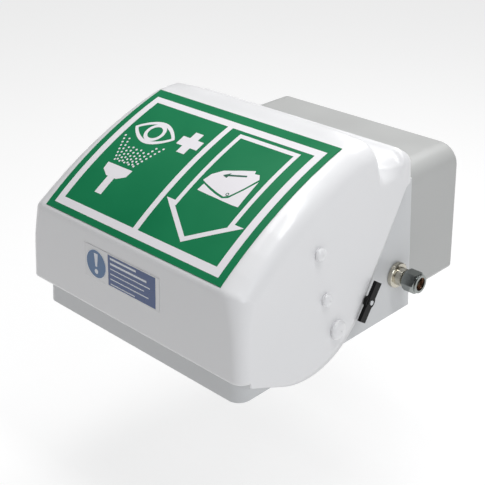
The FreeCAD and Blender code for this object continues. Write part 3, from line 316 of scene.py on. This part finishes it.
hood = {
    "halfWidth": 184.7,                # at the foot
    "draft": 0.065,                    # each side leans in by this much per millimetre of height
    "foot": 35.0,
    "wall": 3.2,
    "rowStep": 2.0,
    "flatColumns": 60,
    "arcColumns": 14,
    "cheekColumns": 26,
    "cheekPower": 1.15,                # packs the cheek's columns towards the rounded edge
    "frontFootY": 0.2,
    "frontRound": 11,
    "panelPoints": 9,
    "rearCorners": [(229.5, 237.0), (286.0, 213.5), (300.8, 203.0), (300.8, 171.4)],
    "rearRounds": [60, 22, 14, 14, 0],       # from the panel's rear end on
    "edgeRound": {"foot": 15, "moreOnTop": 12, "lessAtRear": 13, "top": (80, 150), "rear": (262, 298)},
    "edgePasses": 10,
    "insetSlack": 0.35,
    "insetPasses": 6,
    "hemSlope": 0.4368,
    "apex": (145.9, -28.8),
    "apexRound": 111,
    "hemRear": (284.4, 171.2),
    "hemRearRound": 4,
    "hemEndZ": 171.3,
    "hemEndInset": 0.5,
    "hemStep": 1.0,
}
crest = {"top": 240.8, "rise": (201, 222), "fall": (224, 234), "sideFade": (110, 160), "edgeFade": (1, 5)}
groove = {
    "crown": [(200, 236), (229.5, 237), (286, 213.5), (301, 200)],
    "floor": [(230, 237), (236, 226), (243, 210), (249, 204), (255, 204.6), (275, 209), (284, 213),
              (301, 213)],
    "deepest": 40,
    "fadeIn": (228, 236),
    "fadeOut": (278, 287),
    "scoopFade": (181, 205),
    "scoopPasses": 3,
    "scoopShare": 0.8,
}


# Half the width, narrowing with height by the draft.
def hoodWidth(z):
    return hood["halfWidth"] - hood["draft"] * (z - hood["foot"])


# Side outline: up the front, along the panel's arc, over the crown and roll, and down to the rear hem.
def hoodProfile():
    curve = [panelPoint(back) for back in np.linspace(0, panelLength, hood["panelPoints"])]
    corners = [(hood["frontFootY"], hood["foot"])] + curve + hood["rearCorners"]
    radii = [0, hood["frontRound"]] + [0] * (len(curve) - 2) + hood["rearRounds"]
    return roundedPath(corners, radii, hood["rowStep"])


# The outline moved inwards by the edge radius; points that come nearer to the outline than that are bridged.
def insetCurve(outline, radius):
    ahead = np.gradient(outline, axis=0)
    ahead /= np.linalg.norm(ahead, axis=1)[:, None]
    inward = np.stack([ahead[:, 1], -ahead[:, 0]], axis=1)
    moved = outline + inward * radius[:, None]
    nearest = np.linalg.norm(moved[:, None, :] - outline[None, :, :], axis=2).min(axis=1)
    good = nearest > radius - hood["insetSlack"]
    good[0] = good[-1] = True
    index = np.arange(len(outline))
    bridged = np.stack([np.interp(index, index[good], moved[good, k]) for k in (0, 1)], axis=1)
    return smoothed(bridged, hood["insetPasses"])


# The V-shaped hem of the cheek, with as many points as the inset curve, each at the same share of its length.
def hoodHem(inset):
    start = (inset[0, 0], hood["foot"] - hood["hemSlope"] * inset[0, 0])
    end = (inset[-1, 0] - hood["hemEndInset"], hood["hemEndZ"])
    hem = roundedPath([start, hood["apex"], hood["hemRear"], end],
                      [0, hood["apexRound"], hood["hemRearRound"], 0], hood["hemStep"])
    share = travelled(inset)
    share = share / share[-1]
    return pointsAt(share * travelled(hem)[-1], hem)


# Half of the hood as a grid. Rows follow the side outline. Each row runs straight from the middle to the
# rounded edge, turns a quarter ellipse down to the inset curve, then runs straight down the cheek to the hem.
def hoodGrid():
    outline = hoodProfile()
    y, z = outline[:, :1], outline[:, 1:]
    edge = hood["edgeRound"]
    onTop = smoothStep(z[:, 0], *edge["top"])
    atRear = smoothStep(y[:, 0], *edge["rear"])
    radius = edge["foot"] + edge["moreOnTop"] * onTop - edge["lessAtRear"] * atRear
    radius = smoothed(radius, hood["edgePasses"])
    inset = insetCurve(outline, radius)
    foot = hoodHem(inset)
    radius = radius[:, None]
    insetY, insetZ = inset[:, :1], inset[:, 1:]

    flat = np.linspace(0, 1, hood["flatColumns"])[None, :]
    xFlat = (hoodWidth(z) - radius) * flat
    yFlat = np.repeat(y, hood["flatColumns"], axis=1)
    zFlat = np.repeat(z, hood["flatColumns"], axis=1)

    turn = np.linspace(0, math.pi / 2, hood["arcColumns"] + 1)[1:][None, :]
    yArc = y + (insetY - y) * (1 - np.cos(turn))
    zArc = z + (insetZ - z) * (1 - np.cos(turn))
    xArc = hoodWidth(zArc) - radius * (1 - np.sin(turn))

    down = np.linspace(0, 1, hood["cheekColumns"] + 1)[1:][None, :] ** hood["cheekPower"]
    yCheek = insetY + (foot[:, :1] - insetY) * down
    zCheek = insetZ + (foot[:, 1:] - insetZ) * down
    return (np.concatenate([xFlat, xArc, hoodWidth(zCheek)], axis=1),
            np.concatenate([yFlat, yArc, yCheek], axis=1),
            np.concatenate([zFlat, zArc, zCheek], axis=1))


# The crest: z is drawn towards the crest's top, in a bar across the crown that fades before the cheeks.
def withCrest(x, y, z):
    column = np.arange(x.shape[1])[None, :] - hood["flatColumns"]
    bar = smoothStep(y, *crest["rise"]) * (1 - smoothStep(y, *crest["fall"]))
    bar = bar * (1 - smoothStep(x, *crest["sideFade"])) * (1 - smoothStep(column, *crest["edgeFade"]))
    return z + (crest["top"] - z) * bar


# The finger groove: its depth, crown line less floor line, sinks the top. Round the edge it turns by the
# edge's angle, cosine downwards and sine inwards, so it runs out as a scoop in the cheek.
def withGroove(x, y, z):
    crown = np.interp(y[:, :1], *np.transpose(groove["crown"]))
    floor = np.interp(y, *np.transpose(groove["floor"]))
    depth = np.clip(crown - floor, 0, groove["deepest"])
    depth = depth * smoothStep(y, *groove["fadeIn"]) * (1 - smoothStep(y, *groove["fadeOut"]))
    column = np.arange(x.shape[1])[None, :] - hood["flatColumns"]
    angle = np.clip((column + 1) / hood["arcColumns"], 0, 1) * math.pi / 2
    scoop = depth * np.sin(angle) * smoothStep(z, *groove["scoopFade"])
    for axis in (0, 1):
        scoop = smoothed(scoop, groove["scoopPasses"], axis)
    return (x - scoop * groove["scoopShare"],
            z - depth * np.cos(angle) * (column < hood["arcColumns"]))


def makeHood():
    x, y, z = hoodGrid()
    z = withCrest(x, y, z)
    x, z = withGroove(x, y, z)
    right = place(x, y, z)
    left = place(-x[:, :0:-1], y[:, :0:-1], z[:, :0:-1])      # mirrored, without the middle column
    points = np.concatenate([left, right], axis=1)
    made = meshFrom("hoodShell", points, gridFaces(*points.shape[:2]), looks["shellWhite"])
    thick = made.modifiers.new("wall", "SOLIDIFY")
    thick.thickness = hood["wall"] * mm
    thick.offset = -1
    thick.use_even_offset = False
    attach(made, "hood")
    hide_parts("hood")


makeHood()
print("stage: hood")


caps = {
    "pivot_caps": {"at": [(153.8, 39.5)], "radius": 11.5, "rise": 7.9},
    "bolt_caps": {"at": [(127.5, 142.0), (136.5, 84.0)], "radius": 7.5, "rise": 6.9},
}
capShape = {
    "columns": 40,
    "rows": 22,
    "neckRadius": 0.90,          # shares of the cap's radius and rise
    "neckRise": 0.10,
    "skirtRise": 0.14,
    "undercut": 0.42,            # radians below the widest ring
    "undercutDrop": 0.408,       # the undercut's sine
    "fullness": 0.75,
    "poleGap": 0.02,             # radians that the last ring stops short of the pole
}


# A profile turned about the cheek's normal: a short neck, then a bulb from below its widest ring up to the
# crown. The bulb's radius is a cosine to the power "fullness", and its height a sine.
def capSurface(side, y, z, radius, rise):
    shape = capShape
    start = -shape["undercut"]
    bulb = np.cos(np.linspace(start, math.pi / 2 - shape["poleGap"], shape["rows"])) ** shape["fullness"]
    climb = np.sin(np.linspace(start, math.pi / 2, shape["rows"])) + shape["undercutDrop"]
    climb = climb / (1 + shape["undercutDrop"])
    out = np.concatenate([[shape["neckRadius"], shape["neckRadius"]], bulb])
    up = np.concatenate([[0.0, shape["neckRise"]], shape["skirtRise"] + (1 - shape["skirtRise"]) * climb])
    out = out[:, None] * radius
    up = up[:, None] * rise
    around = np.linspace(0, 2 * math.pi, shape["columns"], endpoint=False)[None, :]
    tall = out * np.sin(around)
    lean = math.atan(hood["draft"])
    grid = place((hoodWidth(z) - tall * math.sin(lean) + up * math.cos(lean)) * side,
                 y + out * np.cos(around),
                 z + tall * math.cos(lean) + up * math.sin(lean))
    faces = gridFaces(*grid.shape[:2], closeColumns=True)
    return grid.reshape(-1, 3), faces[:, ::-1] if side > 0 else faces


def makeCaps(nodeName):
    facts = caps[nodeName]
    points, quads, start = [], [], 0
    for side in (1, -1):
        for y, z in facts["at"]:
            grid, faces = capSurface(side, y, z, facts["radius"], facts["rise"])
            points.append(grid)
            quads.append(faces + start)
            start += len(grid)
    made = meshFrom(nodeName + "_dome", np.concatenate(points), np.concatenate(quads), looks["capWhite"])
    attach(made, "hood")
    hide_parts(nodeName)


for nodeName in caps:
    makeCaps(nodeName)
print("stage: caps")


# Printed artwork is ruled strips between two lines of (a, b) points, laid on the surface that carries it.
# A strip's point is the share of the way from the first line to the second.
def strip(first, second, rows):
    first, second = np.asarray(first, float), np.asarray(second, float)
    share = np.linspace(0, 1, rows + 1)[:, None, None]
    return first[None] * (1 - share) + second[None] * share


def evenly(start, end, count):
    share = np.linspace(0, 1, count)[:, None]
    return np.asarray(start, float) * (1 - share) + np.asarray(end, float) * share


artStep = 6.0      # about how far apart the points of a straight line lie


def pointCount(length):
    return max(2, int(length / artStep) + 1)


# A straight line of even width: its ends moved half the width to each side.
def band(a, b, width):
    a, b = np.asarray(a, float), np.asarray(b, float)
    length = np.linalg.norm(b - a)
    side = np.array([-(b - a)[1], (b - a)[0]]) / length * width / 2
    count = pointCount(length)
    return strip(evenly(a - side, b - side, count), evenly(a + side, b + side, count), 1)


def ringOf(count):
    angle = np.linspace(0, 2 * math.pi, count)
    return np.stack([np.cos(angle), np.sin(angle)], axis=1)


# Rings from the rim to a fiftieth of the radius.
def disc(centre, radius, count):
    reach = ringOf(count) * radius
    ring = reach + centre
    return strip(ring, np.repeat(np.asarray([centre], float), count, axis=0) + (ring - centre) * 0.02, 3)


def loop(centre, outer, inner, count=48):
    ring = ringOf(count)
    return strip(ring * outer + centre, ring * inner + centre, 1)


# A closed outline of even width inside the corners, with mitred turns: each inner corner is the width along
# the sum of the two sides' normals, divided by how far that sum reaches along one of them.
def outlineBand(corners, width):
    corners = np.asarray(corners, float)
    sides = np.roll(corners, -1, axis=0) - corners
    lengths = np.linalg.norm(sides, axis=1)
    normals = np.stack([-sides[:, 1], sides[:, 0]], axis=1) / lengths[:, None]
    normalsBefore = np.roll(normals, 1, axis=0)
    across = normalsBefore + normals
    inner = corners + across * width / np.sum(across * normalsBefore, axis=1)[:, None]
    pieces = []
    for index, length in enumerate(lengths):
        other = (index + 1) % len(corners)
        count = pointCount(length)
        pieces.append(strip(evenly(corners[index], corners[other], count),
                            evenly(inner[index], inner[other], count), 1))
    return pieces


# Lays grids of (a, b) on a carrier, turns each to face outwards, and rides the piece on the hood.
def artwork(name, grids, carrier, outwards, material):
    points, quads, start = [], [], 0
    for grid in grids:
        laid = carrier(grid[..., 0].ravel(), grid[..., 1].ravel())
        faces = gridFaces(*grid.shape[:2])
        corner = laid[faces[len(faces) // 2]]
        facing = np.cross(corner[1] - corner[0], corner[2] - corner[1])
        if facing @ np.array(outwards) < 0:
            faces = faces[:, ::-1]
        points.append(laid)
        quads.append(faces + start)
        start += len(laid)
    made = meshFrom(name, np.concatenate(points), np.concatenate(quads), material, smooth=False)
    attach(made, "hood")


# Sign coordinates: a across from the left edge and b up the panel from its front edge, in mm.
sign = {
    "width": 297.0,
    "lift": 0.72,
    "markLift": 0.78,
    "outwards": (0, -0.5, 0.8),
    "border": [(9.5, 13.0), (287.5, 13.0), (287.5, 203.5), (9.5, 203.5)],
    "borderWidth": 10.0,
    "divider": ((148.0, 22.5), (148.0, 194.0), 8.0),
    "arrow": [(215.0, 31.0), (275.5, 73.5), (262.0, 73.5), (262.0, 188.5), (169.0, 188.5), (169.0, 73.5),
              (155.0, 73.5)],
    "arrowWidth": 6.0,
    "cross": [((103.5, 150.5), (138.0, 150.5), 14.0),
              ((120.8, 132.5), (120.8, 143.5), 13.0),
              ((120.8, 157.5), (120.8, 168.5), 13.0)],
}
eye = {
    "left": 27.0,
    "right": 97.5,
    "b": 147.0,
    "halfHeight": 19.5,
    "fullness": 0.85,
    "line": 5.2,
    "cornerShrink": 33,
    "pupil": (62.5, 147.5),
    "pupilRadii": (15.0, 10.0),
    "points": 25,
}
shower = {
    "face": ((39.0, 86.0), (83.0, 86.0)),
    "shoulder": ((40.5, 75.5), (81.5, 75.5)),
    "neck": ((52.0, 68.5), (70.0, 68.5)),
    "points": 8,
    "stem": ((61.3, 68.5), (61.3, 43.5), 11.5),
}
drops = {
    "fans": 9,
    "counts": {0.6: 5, 0.9: 7, 2.0: 8},      # drops in a fan whose place, from -1 to 1, is within the limit
    "first": 0.08,
    "pitch": 0.125,
    "stagger": 0.04,
    "centre": 61.5,
    "nearHalf": 15.5,
    "spread": 20.0,
    "nearB": 89,
    "reach": 45,
    "sag": 3,
    "radius": 1.55,
    "points": 9,
}
unitPicture = {
    "lidTop": [(181.0, 110.0), (184.5, 121.0), (195.0, 131.0), (216.0, 139.5), (232.0, 145.5), (234.0, 141.0),
               (240.5, 142.0), (245.0, 136.5)],
    "lidLow": [(181.0, 110.0), (188.0, 107.5), (198.0, 104.6), (210.0, 101.6), (222.0, 99.5), (228.0, 103.5),
               (237.0, 118.0), (245.0, 135.5)],
    "lidRows": 6,
    "baseTop": [(186.0, 105.8), (198.0, 101.9), (210.0, 98.8), (222.0, 96.9), (229.0, 100.0), (239.0, 116.5),
                (247.0, 133.0)],
    "baseLow": [(184.5, 95.5), (196.0, 95.0), (208.0, 94.6), (220.0, 94.2), (231.0, 93.8), (241.0, 93.6),
                (249.0, 94.0)],
    "baseRows": 5,
    "arrowHead": ([(199.0, 125.0), (199.0, 125.0)], [(207.0, 131.5), (206.0, 123.0)], 2),
    "arrowShaft": ((205.5, 127.2), (228.0, 134.5), 2.6),
    "pivot": ((224.5, 104.0), 2.2, 1.2, 20),
}


def panelCarrier(lift):
    def carry(a, b):
        return place(a - sign["width"] / 2, *panelPoint(b, lift))
    return carry


# Lids of the eye: half-height times the sine of the way across, to the power "fullness", above and below the
# middle. The inner line is lower by its distance and drawn in towards the middle.
def eyeOutline(inwards):
    span = np.linspace(0, 1, eye["points"])
    middle = (eye["right"] + eye["left"]) / 2
    across = eye["left"] + (eye["right"] - eye["left"]) * span
    across = middle + (across - middle) * (1 - inwards / eye["cornerShrink"])
    rise = np.sin(math.pi * span) ** eye["fullness"] * (eye["halfHeight"] - inwards)
    return [np.stack([across, eye["b"] + way * rise], axis=1) for way in (1, -1)]


# Fans of drops: each fan runs outwards from the shower head, and every other fan is staggered.
def dropPieces():
    pieces = []
    for fan in np.linspace(-1, 1, drops["fans"]):
        count = next(number for limit, number in drops["counts"].items() if abs(fan) < limit)
        stagger = drops["stagger"] if round(fan * (drops["fans"] - 1) / 2) % 2 else 0
        for index in range(count):
            t = drops["first"] + index * drops["pitch"] + stagger
            centre = (drops["centre"] + fan * (drops["nearHalf"] + drops["spread"] * t),
                      drops["nearB"] + drops["reach"] * t - drops["sag"] * abs(fan) * t)
            pieces.append(disc(centre, drops["radius"], drops["points"]))
    return pieces


def signPieces():
    face, shoulder, neck = [evenly(*shower[line], shower["points"]) for line in ("face", "shoulder", "neck")]
    grids = outlineBand(sign["border"], sign["borderWidth"])
    grids.append(band(*sign["divider"]))
    grids += outlineBand(sign["arrow"], sign["arrowWidth"])
    grids += [strip(outer, inner, 1) for outer, inner in zip(eyeOutline(0), eyeOutline(eye["line"]))]
    grids.append(loop(eye["pupil"], *eye["pupilRadii"]))
    grids += [band(*bar) for bar in sign["cross"]]
    grids += [strip(face, shoulder, 1), strip(shoulder, neck, 2), band(*shower["stem"])]
    grids += dropPieces()
    grids.append(strip(unitPicture["lidTop"], unitPicture["lidLow"], unitPicture["lidRows"]))
    grids.append(strip(unitPicture["baseTop"], unitPicture["baseLow"], unitPicture["baseRows"]))
    return grids


def markPieces():
    return [strip(*unitPicture["arrowHead"]), band(*unitPicture["arrowShaft"]), loop(*unitPicture["pivot"])]


artwork("signArtwork", signPieces(), panelCarrier(sign["lift"]), sign["outwards"], looks["signWhite"])
artwork("signMarks", markPieces(), panelCarrier(sign["markLift"]), sign["outwards"], looks["signDark"])
print("stage: sign")


# The notice's words are left out: plain bars stand for its lines. Coordinates: x across and z up, in mm.
notice = {
    "filmFace": 0.45,
    "fieldLift": 0.05,
    "printLift": 0.12,
    "outwards": (0, -1.0, 0),
    "disc": (-50.0, 95.2),
    "discRadius": 18.2,
    "discRim": 1.0,
    "discPoints": 49,
    "strokeTop": (3.6, 13.2),          # half-width, and height from the disc's middle
    "strokeFoot": (1.6, -3.5),
    "dot": (-9.6, 3.1, 21),            # height, radius, points
    "field": {"left": -28.5, "right": 53.0, "low": 76.5, "high": 115.0, "points": 12, "rows": 4},
    "barLeft": -24.5,
    "barReach": 73.0,
    "barShares": (0.62, 0.86, 0.94, 0.80, 0.90, 0.58),
    "barTop": 111.0,
    "barGap": 6.4,
    "thickBars": 2,
    "thick": 2.6,
    "thin": 1.3,
}


# The hood's front face leans back evenly from the foot to the panel; the print lies just before the film.
def frontCarrier(lift):
    def carry(x, z):
        lean = panel["front"][0] / (panel["front"][1] - hood["foot"])
        return place(x, lean * (z - hood["foot"]) - notice["filmFace"] - lift, z)
    return carry


def fieldPieces():
    field = notice["field"]
    low, high = [evenly((field["left"], field[side]), (field["right"], field[side]), field["points"])
                 for side in ("low", "high")]
    return [strip(low, high, field["rows"])]


def printPieces():
    x, z = notice["disc"]
    topHalf, topRise = notice["strokeTop"]
    footHalf, footRise = notice["strokeFoot"]
    dotRise, dotRadius, dotPoints = notice["dot"]
    pieces = [
        strip([(x - topHalf, z + topRise), (x + topHalf, z + topRise)],
              [(x - footHalf, z + footRise), (x + footHalf, z + footRise)], 3),
        disc((x, z + dotRise), dotRadius, dotPoints),
        loop((x, z), notice["discRadius"], notice["discRadius"] - notice["discRim"], notice["discPoints"])]
    for row, share in enumerate(notice["barShares"]):
        high = notice["barTop"] - row * notice["barGap"]
        width = notice["thick"] if row < notice["thickBars"] else notice["thin"]
        right = notice["barLeft"] + notice["barReach"] * share
        pieces.append(band((notice["barLeft"], high), (right, high), width))
    return pieces


discPieces = [disc(notice["disc"], notice["discRadius"], notice["discPoints"])]
for name, grids, lift, look in (("noticeDisc", discPieces, notice["fieldLift"], "discBlue"),
                                ("noticeField", fieldPieces(), notice["fieldLift"], "noticeBlue"),
                                ("noticeMarks", printPieces(), notice["printLift"], "noticePrint")):
    artwork(name, grids, frontCarrier(lift), notice["outwards"], looks[look])
print("stage: notice")


studio = {
    "floorZ": -0.32,
    "floorHalf": 60,
    "floorLook": dict(colour=(0.30, 0.30, 0.30), rough=0.9, spread=0.004, grain=200, lift=0.01),
    "floorGlow": 0.76,
    "worldColour": (0.97, 0.98, 1.0),
    "worldPower": 0.12,
}
lights = {
    "key": dict(at=(-0.3, -0.1, 2.0), aim=(0, -0.25, 0), size=(1.1, 1.1), power=21),
    "fill": dict(at=(1.35, -0.62, 0.50), aim=(0.1, -0.3, -0.02), size=(0.5, 0.6), power=3.4,
                 colour=(0.93, 0.96, 1.0)),
    "edge": dict(at=(0.62, -0.30, 1.15), aim=(0.17, -0.30, 0.06), size=(0.16, 0.8), power=5.5),
    "rear": dict(at=(-0.1, 0.75, 1.15), aim=(0, -0.04, 0.08), size=(0.9, 0.4), power=8),
}


def makeFloor():
    half = studio["floorHalf"]
    corners = np.array([[[-half, -half, 0], [half, -half, 0]], [[-half, half, 0], [half, half, 0]]], float)
    corners[..., 2] = studio["floorZ"]
    look = plastic("paleFloor", **studio["floorLook"])
    shader = look.node_tree.nodes["Principled BSDF"]
    shader.inputs["Emission Color"].default_value = (1, 1, 1, 1)
    shader.inputs["Emission Strength"].default_value = studio["floorGlow"]
    meshFrom("floor", corners, gridFaces(2, 2), look, smooth=False)


def makeWorld():
    world = bpy.data.worlds.new("studio")
    scene.world = world
    world.use_nodes = True
    background = world.node_tree.nodes["Background"]
    background.inputs["Color"].default_value = (*studio["worldColour"], 1)
    background.inputs["Strength"].default_value = studio["worldPower"]


def softLight(name, at, aim, size, power, colour=(1, 1, 1)):
    data = bpy.data.lights.new(name, "AREA")
    data.shape = "RECTANGLE"
    data.size, data.size_y = size
    data.energy = power
    data.color = colour
    made = bpy.data.objects.new(name, data)
    made.location = at
    made.rotation_euler = (Vector(aim) - Vector(at)).to_track_quat("-Z", "Y").to_euler()
    scene.collection.objects.link(made)


makeFloor()
makeWorld()
for name, facts in lights.items():
    softLight(name, **facts)
print("stage: floor and lights")


view = {
    "at": (0.806455, -1.047202, 0.558344),
    "azimuth": 44.601,
    "elevation": 26.683,
    "roll": -0.471,
    "lens": 76.45,
    "sensor": 36,
    "clipStart": 0.05,
}


# The camera's axes: back points away from the object at the azimuth and elevation, right is level, up is
# square to both, and then right and up turn about back by the roll.
def makeCamera():
    azimuth, elevation, roll = [math.radians(view[angle]) for angle in ("azimuth", "elevation", "roll")]
    back = Vector((math.sin(azimuth) * math.cos(elevation),
                   -math.cos(azimuth) * math.cos(elevation),
                   math.sin(elevation)))
    level = (-back).cross(Vector((0, 0, 1))).normalized()
    square = level.cross(-back)
    right = level * math.cos(roll) + square * math.sin(roll)
    up = square * math.cos(roll) - level * math.sin(roll)
    camera = bpy.data.objects.new("camera", bpy.data.cameras.new("camera"))
    camera.data.sensor_width = view["sensor"]
    camera.data.lens = view["lens"]
    camera.data.clip_start = view["clipStart"]
    camera.data.dof.use_dof = False
    camera.location = view["at"]
    camera.rotation_euler = Matrix((right, up, back)).transposed().to_euler()
    scene.collection.objects.link(camera)
    return camera


bpy.context.scene.camera = makeCamera()
scene.view_settings.view_transform = "Standard"
print("stage: camera")
